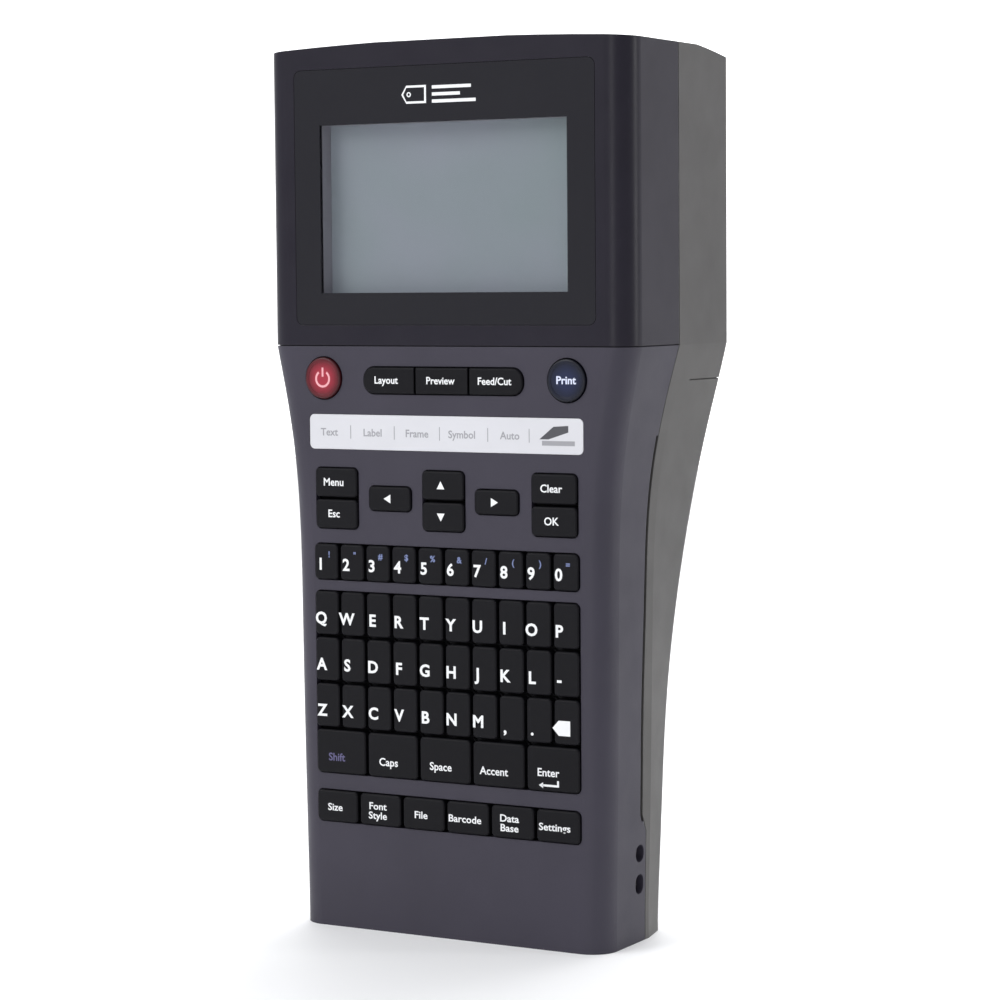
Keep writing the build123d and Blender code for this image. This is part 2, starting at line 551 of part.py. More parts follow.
# ---------------------------------------------------------------- print mechanism
def make_mechanism():
    plate = block(-55.2, 55.2, *PLATE, 164.2, 228)
    plate += block(-36.0, 55.2, *PLATE, 227, 246)
    plate += block(-53.6, -38, *PLATE, 159.5, 165)
    plate += block(42.2, 43.8, PLATE[0], 13, 167, 226)
    plate += block(-22.0, 43.8, PLATE[0], 13, 228.6, 230.2)
    plate += block(-41.0, -39.6, PLATE[0], 14, 186.5, 193.5)
    plate += block(-51, -41, -8.4, PLATE[1], 224.6, 227)
    plate += block(-36.9, -35.2, PLATE[0], 26, 236.6, 243.6)
    plate -= block(-38.2, -34.9, PLATE[1], 27, CUT_Z - 0.02, CUT_Z + 0.82)
    plate -= block(-37.0, -35.1, 12, 27, CUT_Z - 1.55, CUT_Z)
    plate -= block(-49.5, -41.2, -1, 3, 203.2, 208.8)
    plate -= along_y(*MOTOR, 4.0, -1, 3)
    plate -= along_y(*TAKEUP, 2.9 + RUNNING, -1, 3)
    for x, z in TOP_SCREWS:
        plate -= along_y(x, z, SCREW_R + 0.3, -1, 3)
    posts = (DRIVE, REDUCTION)
    pivots = (HOLDER_PIVOT, LEVER_PIVOT)
    for x, z in posts + pivots:
        plate -= along_y(x, z, POST_R + 0.01, -1, 3)
    plate -= along_z(*CUTTER_PIVOT, POST_R + 0.01, 220, 230)
    save("mechanism_chassis", plate)

    pins = [along_y(x, z, POST_R, LAYER_A[0] - 1.2, PLATE[1]) for x, z in posts]
    pins += [along_y(x, z, POST_R, PLATE[0], 28.2) for x, z in pivots]
    pins.append(along_z(*CUTTER_PIVOT, POST_R, 224.8, 246.2))
    save("mechanism_pins", Compound(pins))

    motor = along_y(*MOTOR, 7.7, PLATE[1] + 0.1, 24)
    motor = fillet(motor.faces().sort_by(Axis.Y)[-1].edges(), 1.0)
    motor += along_y(*MOTOR, 3.8, PLATE[0] + 0.1, PLATE[1] + 0.3)
    motor += along_y(*MOTOR, 2.4, 23.8, 25.6)
    motor -= along_y(*MOTOR, 1.0 + RUNNING, -2, 12)
    save("drive_motor", motor)

    phase = 0.0
    pinion = gear(MOTOR, PINION_T, phase, *LAYER_A) + along_y(*MOTOR, 1.0, LAYER_A[0], 11)
    save("motor_pinion", pinion)

    phase = mesh_phase(phase, PINION_T, direction(MOTOR, REDUCTION), REDUCTION_T)
    large = gear(REDUCTION, REDUCTION_T, phase, *LAYER_A)
    for i in range(5):
        a = 2 * math.pi * i / 5
        spot = (REDUCTION[0] + 12.6 * math.cos(a), REDUCTION[1] + 12.6 * math.sin(a))
        large -= along_y(*spot, 3.4, LAYER_A[0] - 1, LAYER_A[1] + 1)
    small = gear(REDUCTION, REDUCTION_SMALL_T, phase, LAYER_A[1], LAYER_B[1])
    save("reduction_gear", (large + small) - along_y(*REDUCTION, POST_R + RUNNING, -12, 2))

    phase = mesh_phase(phase, REDUCTION_SMALL_T, direction(REDUCTION, DRIVE), DRIVE_T)
    drive = gear(DRIVE, DRIVE_T, phase, *LAYER_B)
    drive += along_y(*DRIVE, 3.2, LAYER_A[0], LAYER_B[0] + 0.2)
    drive -= along_y(*DRIVE, POST_R + RUNNING, -12, 2)
    for i in range(5):
        a = 2 * math.pi * i / 5
        spot = (DRIVE[0] + 11.4 * math.cos(a), DRIVE[1] + 11.4 * math.sin(a))
        drive -= along_y(*spot, 3.0, LAYER_B[0] - 1, LAYER_B[1] + 1)
    save("drive_gear", drive)

    turn = mesh_phase(phase, DRIVE_T, direction(DRIVE, PLATEN), PLATEN_T)
    platen_gear = gear(PLATEN, PLATEN_T, turn, *LAYER_B)
    save("platen_gear", platen_gear - along_y(*PLATEN, 1.5, -6, 2))
    roller = along_y(*PLATEN, PLATEN_R, 4.4, 26.6)
    roller = fillet(roller.edges().filter_by(GeomType.CIRCLE), 0.4)
    roller += along_y(*PLATEN, 1.5, LAYER_B[0], 28.5)
    save("platen_roller", roller)

    turn = mesh_phase(phase, DRIVE_T, direction(DRIVE, TAKEUP), RIBBON_T)
    ribbon = gear(TAKEUP, RIBBON_T, turn, *LAYER_B) + along_y(*TAKEUP, 2.9, LAYER_B[1] - 0.2, 3.2)
    ribbon += prism_y(Pos(*TAKEUP) * RegularPolygon(2.3, 6), 3.0, 22)
    save("ribbon_gear", ribbon)

    save("roller_holder", make_holder())
    save("release_lever", make_release_lever())
    spring = Pos(-48.8, 9, 190) * Rot(0, 90, 0) * coil(1.9, 0.3, 7.6, 4)
    save("holder_spring", spring)

    head = block(-38.05, -37.05, 3.2, 27.2, 198, 214)
    head += along_y(-37.75, 206, 0.42, 3.2, 27.2) & block(-38.2, -37.0, 0, 30, 190, 220)
    save("print_head", head)
    sink = block(-37.0, -35.4, PLATE[1] + 0.05, 28.0, 194.5, 217.5)
    for i in range(6):
        z = 195.0 + 4.2 * i
        sink += block(-35.6, -30.5, PLATE[1] + 0.05, 27.0, z, z + 1.2)
    save("head_heat_sink", sink)


def make_holder():
    """Swinging frame that carries the platen roller, open towards the print head."""
    px, pz = HOLDER_PIVOT
    back = block(-50.6, -49.2, 2.2, 28.4, pz - 3, 209)
    arm = polygon([(-50.6, pz - 3), (px + 3.2, pz - 3), (px + 3.2, pz + 3), (-41.5, 197),
                   (-39.9, 203), (-39.9, 209), (-42.5, 212), (-50.6, 212)])
    frame = back + prism_y(arm, 2.2, 3.8) + prism_y(arm, 27.0, 28.4)
    frame += along_y(px, pz, 3.0, 2.2, 28.4)
    frame -= along_y(px, pz, POST_R + RUNNING, 0, 30)
    frame -= along_y(*PLATEN, 1.5 + RUNNING, 0, 30)
    return frame


def make_release_lever():
    """Lever that presses the roller holder towards the head while it is down."""
    lx, lz = LEVER_PIVOT
    lever = along_y(lx, lz, 2.3, 5.0, 27.6)
    tail = polygon([(lx - 1.6, lz), (lx + 1.9, lz), (-51.0, 208.5), (-50.85, 206), (-52.2, 206)])
    lever += prism_y(tail, 8.0, 24.0)
    finger = polygon([(lx - 2.0, lz), (lx + 1.4, lz), (lx + 0.8, 226.2), (lx - 1.4, 226.2)])
    lever += prism_y(finger, 14.0, 27.6)
    return lever - along_y(lx, lz, POST_R + RUNNING, 0, 30)


# ---------------------------------------------------------------- tape cassette
def make_cassette():
    shell = rounded(CAS_X0, CAS_X1, CAS_Z0, CAS_Z1, 3.0, CAS_Y0, CAS_Y1)
    notch = block(CAS_X0 - 1, NOTCH_X, 0, 40, NOTCH_Z0, NOTCH_Z1)
    shell -= notch
    w = CAS_WALL
    hollow = rounded(CAS_X0 + w, CAS_X1 - w, CAS_Z0 + w, CAS_Z1 - w, 2.0, CAS_Y0 + w, CAS_Y1 - w)
    hollow -= block(CAS_X0 - 1, NOTCH_X + w, 0, 40, NOTCH_Z0 - w, NOTCH_Z1 + w)
    shell -= hollow
    shell += along_y(*ROLL, 6.0, CAS_Y0 + 0.5, CAS_Y1 - 0.5)
    shell -= along_y(*ROLL, 4.6, CAS_Y0 - 1, CAS_Y1 + 1)
    shell += along_y(*SUPPLY, 2.6, CAS_Y0 + 0.5, CAS_Y1 - 0.5)
    shell -= along_y(*TAKEUP, 3.3, CAS_Y0 - 1, CAS_Y1 + 1)
    shell -= rounded(24, 36, 186, 206, 2.0, CAS_Y1 - 3, CAS_Y1 + 1)
    save("cassette_shell", shell)

    inside = (CAS_Y0 + CAS_WALL + 0.3, CAS_Y1 - CAS_WALL - 0.3)
    roll = along_y(*ROLL, ROLL_R, *inside) - along_y(*ROLL, 6.35, 0, 40)
    save("tape_roll", roll)
    supply = along_y(*SUPPLY, 8.0, inside[0] + 0.8, inside[1] - 0.8) + along_y(*SUPPLY, 4.2, *inside)
    save("ribbon_supply_spool", supply - along_y(*SUPPLY, 2.95, 0, 40))
    takeup = along_y(*TAKEUP, 6.2, inside[0] + 0.8, inside[1] - 0.8) + along_y(*TAKEUP, 4.2, *inside)
    takeup -= prism_y(Pos(*TAKEUP) * RegularPolygon(2.45, 6), 0, 40)
    save("ribbon_takeup_spool", takeup)


# ---------------------------------------------------------------- cutter
def make_cutter():
    px, py = CUTTER_PIVOT
    hub = along_z(px, py, 3.4, 229.6, 246.0)
    arm = Pos(0, 0, 229.6) * extrude(polygon([
        (px - 3.0, py), (px + 2.2, py), (px + 1.4, 26.0), (px - 1.2, 26.0)]), amount=8.6)
    web = Pos(0, 0, 232.0) * extrude(polygon([
        (px - 2.4, 6.0), (px - 0.9, 8.6), (-56.0, 14.6), (-56.6, 11.0)]), amount=10.0)
    pad = block(-58.2, -56.0, *PAD_Y, *PAD_Z)
    pad = fillet(pad.edges().filter_by(Axis.X), 1.2)
    for i in range(5):
        y = 9.0 + 3.0 * i
        pad -= block(-58.6, -57.7, y - 0.6, y + 0.6, PAD_Z[0] + 2.5, PAD_Z[1] - 2.5)
    lever = (hub + arm + web + pad) - along_z(px, py, POST_R + RUNNING, 200, 260)
    lever -= block(-60, -30, 1.0, 30, 238.1, 239.9) & block(px + 0.2, -30, 0, 40, 230, 250)
    save("cutter_lever", lever)

    edge = extrude(polygon([(-45.6, 1.6), (-40.0, 2.4), (-41.6, 25.8), (-45.6, 25.8)]), amount=0.8)
    save("moving_blade", Pos(0, 0, 238.6) * edge)
    fixed = block(-38.0, -35.0, 1.7, 26.0, CUT_Z, CUT_Z + 0.8)
    save("fixed_blade", fixed)
    save("cutter_spring", Pos(px, py, 227.25) * coil(2.2, 0.3, 2.1, 2.5, leg=4.5))


os.makedirs("parts", exist_ok=True)
body = body_solid(0.0)
body_inner = body_solid(WALL)
body_slab = body_solid(0.6)
outer_shell = body - body_inner
skin = body - body_solid(1.1)
skin_shallow = body - body_slab

make_keys()
make_front_case(outer_shell, skin)
make_display_cover(outer_shell)
make_rear_case(outer_shell, body_inner)
make_tape_door(outer_shell)
make_battery_cover(outer_shell)
make_small_casing()
make_electronics()
make_mechanism()
make_cassette()
make_cutter()
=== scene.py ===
import json
import math

import bmesh
import bpy
from mathutils import Matrix, Vector


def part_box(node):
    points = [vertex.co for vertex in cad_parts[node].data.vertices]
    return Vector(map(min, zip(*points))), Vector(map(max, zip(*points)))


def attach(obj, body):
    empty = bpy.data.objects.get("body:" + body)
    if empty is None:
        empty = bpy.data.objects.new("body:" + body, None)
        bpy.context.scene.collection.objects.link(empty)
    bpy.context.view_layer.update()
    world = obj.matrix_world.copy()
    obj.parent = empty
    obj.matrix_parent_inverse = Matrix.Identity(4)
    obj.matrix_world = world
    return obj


# A handheld label maker. The CAD nodes keep their shapes and get moulded, printed and metal
# finishes here; legends, arrows and icons are thin printed plates that ride on their keys.
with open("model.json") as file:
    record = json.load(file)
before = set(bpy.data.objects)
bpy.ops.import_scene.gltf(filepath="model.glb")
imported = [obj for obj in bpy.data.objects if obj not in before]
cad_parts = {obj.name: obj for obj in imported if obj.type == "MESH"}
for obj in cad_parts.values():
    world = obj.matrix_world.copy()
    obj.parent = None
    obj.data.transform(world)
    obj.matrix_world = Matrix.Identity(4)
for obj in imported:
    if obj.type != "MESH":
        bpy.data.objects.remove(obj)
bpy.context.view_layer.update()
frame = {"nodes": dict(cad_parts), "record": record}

MM = 0.001
PRINT_T = 0.00002          # thickness of a printed mark
DISH = 0.0001              # depth of the flat recess in the two round keys
CAP_HEIGHT = 0.70          # capital height of the built-in font, for a size of 1
VIEW_HALF = 0.0397         # half width of the clear window in the lens
VIEW_LOW, VIEW_HIGH = 0.1821, 0.2295
DOT_PITCH = 0.00052        # picture elements of the display
FLOOR_REACH = 4.0          # how far the floor and backdrop go to the left and up
FLOOR_RIGHT = 1.1
BACKDROP_Y, BACKDROP_RIGHT = 1.9, 0.35

# Area lights: name, place, target, width, height, watts, colour
LIGHTS = [
    ("key_light", (-0.75, -0.95, 1.05), (0, 0, 0.11), 0.9, 0.9, 13.5, (1, 1, 1)),
    ("top_light", (0.0, 0.6, 1.25), (0, 0, 0.05), 0.7, 0.7, 8.0, (1, 1, 1)),
    ("side_light", (1.15, 0.45, 0.36), (0, 0, 0.10), 0.16, 1.0, 3.2, (1, 1, 1)),
    ("side_gloss", (0.66, 0.98, 0.16), (0.05, 0, 0.08), 0.35, 0.7, 0.65, (0.95, 0.90, 1.0)),
    ("corner_light", (0.22, -1.35, 0.35), (0, 0, 0.14), 0.10, 1.2, 2.9, (1, 1, 1)),
]

# Camera: place in metres, angles in radians, lens in millimetres
CAMERA_PLACE = (0.4238498, -0.7482148, 0.1854798)
CAMERA_YAW, CAMERA_PITCH, CAMERA_ROLL = 0.5149, 0.0735, -0.0081
CAMERA_LENS, CAMERA_SENSOR = 107.598, 36.0

# Colours of the printed marks
INKS = {
    "white_ink": (0.78, 0.79, 0.80),
    "pale_red_ink": (0.75, 0.35, 0.38),
    "pale_blue_ink": (0.62, 0.66, 0.82),
    "dim_ink": (0.10, 0.09, 0.20),
    "blue_ink": (0.16, 0.20, 0.38),
    "grey_ink": (0.30, 0.30, 0.32),
    "dark_ink": (0.06, 0.06, 0.07),
}


# ---------------------------------------------------------------- materials
def new_material(name, colour, rough, **sockets):
    """A Principled material and its node tree, shader and object coordinates."""
    material = bpy.data.materials.new(name)
    material.use_nodes = True
    tree = material.node_tree
    shader = tree.nodes["Principled BSDF"]
    shader.inputs["Base Color"].default_value = (*colour, 1.0)
    shader.inputs["Roughness"].default_value = rough
    for socket, value in sockets.items():
        shader.inputs[socket.replace("_", " ")].default_value = value
    coordinates = tree.nodes.new("ShaderNodeTexCoord").outputs["Object"]
    return material, tree, shader, coordinates


def noise(tree, coordinates, scale, detail=3.0, stretch=None):
    """Noise of a given scale in metres, stretched along an axis if asked."""
    vector = coordinates
    if stretch:
        mapping = tree.nodes.new("ShaderNodeMapping")
        mapping.inputs["Scale"].default_value = stretch
        tree.links.new(coordinates, mapping.inputs["Vector"])
        vector = mapping.outputs["Vector"]
    node = tree.nodes.new("ShaderNodeTexNoise")
    node.inputs["Scale"].default_value = 1.0 / scale
    node.inputs["Detail"].default_value = detail
    tree.links.new(vector, node.inputs["Vector"])
    return node.outputs["Fac"]


def remap(tree, value, low, high, from_low=0.3, from_high=0.7):
    """A value taken from one range to another, and held inside it."""
    node = tree.nodes.new("ShaderNodeMapRange")
    node.inputs["From Min"].default_value = from_low
    node.inputs["From Max"].default_value = from_high
    node.inputs["To Min"].default_value = low
    node.inputs["To Max"].default_value = high
    tree.links.new(value, node.inputs["Value"])
    return node.outputs["Result"]


def math_node(tree, operation, *values):
    """One arithmetic step on sockets and plain numbers."""
    node = tree.nodes.new("ShaderNodeMath")
    node.operation = operation
    for index, value in enumerate(values):
        if isinstance(value, (int, float)):
            node.inputs[index].default_value = value
        else:
            tree.links.new(value, node.inputs[index])
    return node.outputs["Value"]


def blend_colours(tree, factor, first, second):
    """A mix of two colours, each a plain colour or a socket."""
    node = tree.nodes.new("ShaderNodeMix")
    node.data_type = "RGBA"
    tree.links.new(factor, node.inputs["Factor"])
    for socket, colour in zip(("A", "B"), (first, second)):
        inputs = [i for i in node.inputs if i.name == socket and i.type == "RGBA"]
        if isinstance(colour, tuple):
            inputs[0].default_value = (*colour, 1.0)
        else:
            tree.links.new(colour, inputs[0])
    return [o for o in node.outputs if o.type == "RGBA"][0]


def separate(tree, coordinates):
    """The X, Y and Z sockets of a coordinate."""
    axes = tree.nodes.new("ShaderNodeSeparateXYZ")
    tree.links.new(coordinates, axes.inputs["Vector"])
    return axes.outputs


def shade(colour, factor):
    return tuple(min(1.0, c * factor) for c in colour)


def surface_relief(tree, shader, coordinates, grain, depth, rounding):
    """Fine moulded texture over edges that catch the light as if slightly rounded."""
    bump = tree.nodes.new("ShaderNodeBump")
    bump.inputs["Strength"].default_value = 1.0
    bump.inputs["Distance"].default_value = depth
    tree.links.new(noise(tree, coordinates, grain, 2.0), bump.inputs["Height"])
    if rounding:
        bevel = tree.nodes.new("ShaderNodeBevel")
        bevel.samples = 4
        bevel.inputs["Radius"].default_value = rounding
        tree.links.new(bevel.outputs["Normal"], bump.inputs["Normal"])
    tree.links.new(bump.outputs["Normal"], shader.inputs["Normal"])


def moulded(name, colour, rough, grain=0.0004, depth=0.00002, patch=0.03, spread=0.08,
            rounding=0.0003, **sockets):
    """Moulded plastic or rubber: fine grain, soft colour patches and uneven gloss."""
    material, tree, shader, coordinates = new_material(name, colour, rough, **sockets)
    patches = remap(tree, noise(tree, coordinates, patch, 4.0), 0.0, 1.0)
    tone = blend_colours(tree, patches, shade(colour, 1 - spread), shade(colour, 1 + spread))
    tree.links.new(tone, shader.inputs["Base Color"])
    gloss = remap(tree, noise(tree, coordinates, patch * 0.35, 5.0), rough * 0.92, rough * 1.10)
    tree.links.new(gloss, shader.inputs["Roughness"])
    surface_relief(tree, shader, coordinates, grain, depth, rounding)
    return material


def brushed(name, colour, rough, along=(1.0, 0.04, 1.0), grain=0.0003, **sockets):
    """Metal with fine lines along one direction."""
    material, tree, shader, coordinates = new_material(name, colour, rough, Metallic=1.0, **sockets)
    lines = noise(tree, coordinates, grain, 3.0, along)
    tone = blend_colours(tree, remap(tree, lines, 0.0, 1.0), shade(colour, 0.82), shade(colour, 1.1))
    tree.links.new(tone, shader.inputs["Base Color"])
    tree.links.new(remap(tree, lines, rough * 0.8, rough * 1.3), shader.inputs["Roughness"])
    surface_relief(tree, shader, coordinates, grain * 2, 0.000004, 0.0001)
    return material


def round_key_painted_shading(name, colour, node):
    """Translucent coloured rubber with a painted highlight in the middle of the key and painted
    shade at its rim, in place of the light and shade of a dome.
    """
    material, tree, shader, coordinates = new_material(name, colour, 0.38, Specular_IOR_Level=0.3)
    low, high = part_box(node)
    middle = [(a + b) / 2 for a, b in zip(low, high)]
    radius = (high[0] - low[0]) / 2
    place = tree.nodes.new("ShaderNodeMapping")
    place.inputs["Location"].default_value = [-c for c in middle]
    flatten = tree.nodes.new("ShaderNodeVectorMath")
    flatten.operation = "MULTIPLY"
    flatten.inputs[1].default_value = (1 / radius, 0, 1 / radius)
    length = tree.nodes.new("ShaderNodeVectorMath")
    length.operation = "LENGTH"
    tree.links.new(coordinates, place.inputs["Vector"])
    tree.links.new(place.outputs["Vector"], flatten.inputs[0])
    tree.links.new(flatten.outputs["Vector"], length.inputs[0])
    # painted shade: the colour darkens from the middle of the key towards its rim, as light falls
    # off on a dome
    painted_rim_shade = remap(tree, length.outputs["Value"], 0.0, 1.0, 0.30, 0.86)
    grain = remap(tree, noise(tree, coordinates, 0.004, 4.0), -0.06, 0.06)
    factor = math_node(tree, "ADD", painted_rim_shade, grain)
    # painted highlight in the middle (brighter than the rubber) and painted shade at the rim
    tone = blend_colours(tree, factor, shade(colour, 1.15), shade(colour, 0.14))
    tree.links.new(tone, shader.inputs["Base Color"])
    surface_relief(tree, shader, coordinates, 0.0004, 0.00001, 0.0005)
    return material


def lens_material():
    """Smoked lens: a black printed border round a clear window."""
    material, tree, shader, coordinates = new_material(
        "smoked_lens", (0.012, 0.0115, 0.015), 0.14, Specular_IOR_Level=0.36)
    axes = separate(tree, coordinates)
    feather = 0.0001
    across = math_node(tree, "ABSOLUTE", axes["X"])
    aside = remap(tree, across, 0.0, 1.0, VIEW_HALF - feather, VIEW_HALF + feather)
    below = remap(tree, axes["Z"], 1.0, 0.0, VIEW_LOW - feather, VIEW_LOW + feather)
    above = remap(tree, axes["Z"], 0.0, 1.0, VIEW_HIGH - feather, VIEW_HIGH + feather)
    border = math_node(tree, "MAXIMUM", aside, math_node(tree, "MAXIMUM", below, above))
    tree.links.new(remap(tree, border, 0.10, 1.0, 0.0, 1.0), shader.inputs["Alpha"])
    smears = noise(tree, coordinates, 0.02, 5.0)
    tree.links.new(remap(tree, smears, 0.10, 0.17), shader.inputs["Roughness"])
    return material


def lcd_material_painted_glow():
    """Reflective grey-green liquid crystal glass with its faint grid of picture elements, and a
    painted glow of its own tone that lifts the shade of the recess round it.
    """
    # the emission strength is a painted glow: the glass is no lamp, the glow evens out the shade at
    # its recessed edges
    material, tree, shader, coordinates = new_material(
        "lcd_glass", (0.285, 0.325, 0.36), 0.32, Emission_Strength=0.18)
    axes = separate(tree, coordinates)
    lines = None
    for axis in ("X", "Z"):
        cell = math_node(tree, "FRACT", math_node(tree, "MULTIPLY", axes[axis], 1.0 / DOT_PITCH))
        edge = math_node(tree, "LESS_THAN", cell, 0.16)
        lines = edge if lines is None else math_node(tree, "MAXIMUM", lines, edge)
    drift = remap(tree, noise(tree, coordinates, 0.05, 2.0), 0.0, 1.0, 0.35, 0.65)
    plain = blend_colours(tree, drift, (0.215, 0.260, 0.275), (0.250, 0.270, 0.315))
    faint = math_node(tree, "MULTIPLY", lines, 0.10)
    tone = blend_colours(tree, faint, plain, (0.12, 0.14, 0.16))
    tree.links.new(tone, shader.inputs["Base Color"])
    # painted glow: the same tone drives the emission
    tree.links.new(tone, shader.inputs["Emission Color"])
    return material


def board_material():
    """Solder mask with copper tracks showing through as lighter lines."""
    material, tree, shader, coordinates = new_material("solder_mask", (0.02, 0.12, 0.05), 0.32)
    bricks = tree.nodes.new("ShaderNodeTexBrick")
    bricks.inputs["Scale"].default_value = 260.0
    bricks.inputs["Mortar Size"].default_value = 0.012
    for socket, colour in (("Color1", (0.015, 0.10, 0.04)), ("Color2", (0.02, 0.13, 0.055)),
                           ("Mortar", (0.05, 0.24, 0.10))):
        bricks.inputs[socket].default_value = (*colour, 1.0)
    turn = tree.nodes.new("ShaderNodeMapping")
    turn.inputs["Rotation"].default_value = (math.radians(90), 0, 0)
    tree.links.new(coordinates, turn.inputs["Vector"])
    tree.links.new(turn.outputs["Vector"], bricks.inputs["Vector"])
    tree.links.new(bricks.outputs["Color"], shader.inputs["Base Color"])
    surface_relief(tree, shader, coordinates, 0.0008, 0.00001, 0.0001)
    return material


def cell_material():
    """Plain battery wrapper: a dark sleeve, a copper-coloured band and bare metal ends."""
    material, tree, shader, coordinates = new_material("cell_wrapper", (0.05, 0.05, 0.06), 0.28)
    low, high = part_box("batteries")
    height = separate(tree, coordinates)["Z"]
    band = math_node(tree, "GREATER_THAN", height, low[2] + 0.70 * (high[2] - low[2]))
    tone = blend_colours(tree, band, (0.035, 0.036, 0.045), (0.45, 0.22, 0.09))
    top = math_node(tree, "GREATER_THAN", height, high[2] - 0.0017)
    ends = math_node(tree, "MAXIMUM", top, math_node(tree, "LESS_THAN", height, low[2] + 0.0014))
    tree.links.new(blend_colours(tree, ends, tone, (0.6, 0.6, 0.58)), shader.inputs["Base Color"])
    tree.links.new(ends, shader.inputs["Metallic"])
    surface_relief(tree, shader, coordinates, 0.002, 0.00001, 0)
    return material


def wound_material(name, colour, other, layer):
    """Tape or ribbon wound on a spool: fine lines round the axis seen on the flat ends."""
    material, tree, shader, coordinates = new_material(name, colour, 0.45)
    rings = noise(tree, coordinates, layer, 2.0, (1.0, 0.02, 1.0))
    tree.links.new(blend_colours(tree, remap(tree, rings, 0.0, 1.0), colour, other),
                   shader.inputs["Base Color"])
    surface_relief(tree, shader, coordinates, layer, 0.00002, 0)
    return material


def make_materials():
    """One finish for each material slot of the record."""
    return {
        "case_front": moulded("front_case_plastic", (0.036, 0.0325, 0.0475), 0.46,
                              Specular_IOR_Level=0.30),
        "case_display": moulded("display_cover_plastic", (0.0108, 0.0090, 0.0160), 0.34,
                                depth=0.00001, Specular_IOR_Level=0.24),
        "case_rear": moulded("rear_case_plastic", (0.083, 0.080, 0.076), 0.50,
                             depth=0.00003, Specular_IOR_Level=0.35),
        "window_glass": lens_material(),
        "lcd_glass": lcd_material_painted_glow(),
        "bezel_grey": moulded("bezel_plastic", (0.27, 0.265, 0.30), 0.5),
        "strip_white": moulded("strip_film", (0.60, 0.60, 0.63), 0.35, spread=0.02,
                               depth=0.000004),
        "key_black": moulded("key_rubber_black", (0.0040, 0.0038, 0.0055), 0.46, rounding=0.0004,
                             depth=0.00001, Specular_IOR_Level=0.15),
        "key_red": round_key_painted_shading("key_rubber_red", (0.29, 0.022, 0.040), "power_key"),
        "key_navy": round_key_painted_shading("key_rubber_navy", (0.009, 0.014, 0.046), "print_key"),
        "mat_black": moulded("mat_silicone", (0.010, 0.010, 0.012), 0.6),
        "board_green": board_material(),
        "jack_black": moulded("jack_plastic", (0.015, 0.015, 0.015), 0.4),
        "cell_wrap": cell_material(),
        "nickel": brushed("nickel_plate", (0.62, 0.61, 0.58), 0.28),
        "steel": brushed("bright_steel", (0.56, 0.56, 0.57), 0.25),
        "zinc_screw": brushed("zinc_plate", (0.33, 0.33, 0.34), 0.35),
        "chassis_plastic": moulded("chassis_plastic", (0.040, 0.040, 0.043), 0.5),
        "cassette_plastic": moulded("cassette_plastic", (0.52, 0.52, 0.49), 0.45, spread=0.03),
        "tape_white": wound_material("wound_tape", (0.82, 0.81, 0.78), (0.62, 0.61, 0.58), 0.0004),
        "ribbon_black": wound_material("wound_ribbon", (0.010, 0.010, 0.012),
                                       (0.03, 0.03, 0.034), 0.0004),
        "head_ceramic": moulded("head_glaze", (0.72, 0.68, 0.56), 0.2, spread=0.03),
        "aluminium": brushed("extruded_aluminium", (0.72, 0.73, 0.74), 0.32, (1.0, 0.03, 1.0)),
        "platen_rubber": moulded("platen_rubber", (0.035, 0.035, 0.036), 0.62, grain=0.0002),
        "gear_acetal": moulded("gear_acetal", (0.72, 0.71, 0.64), 0.38, spread=0.03,
                               Subsurface_Weight=0.05),
        "brass": brushed("turned_brass", (0.72, 0.52, 0.22), 0.28),
        "lever_plastic": moulded("lever_plastic", (0.045, 0.045, 0.048), 0.42),
    }


def make_inks():
    return {name: moulded(name, colour, 0.5, spread=0.04, rounding=0, depth=0.000002)
            for name, colour in INKS.items()}


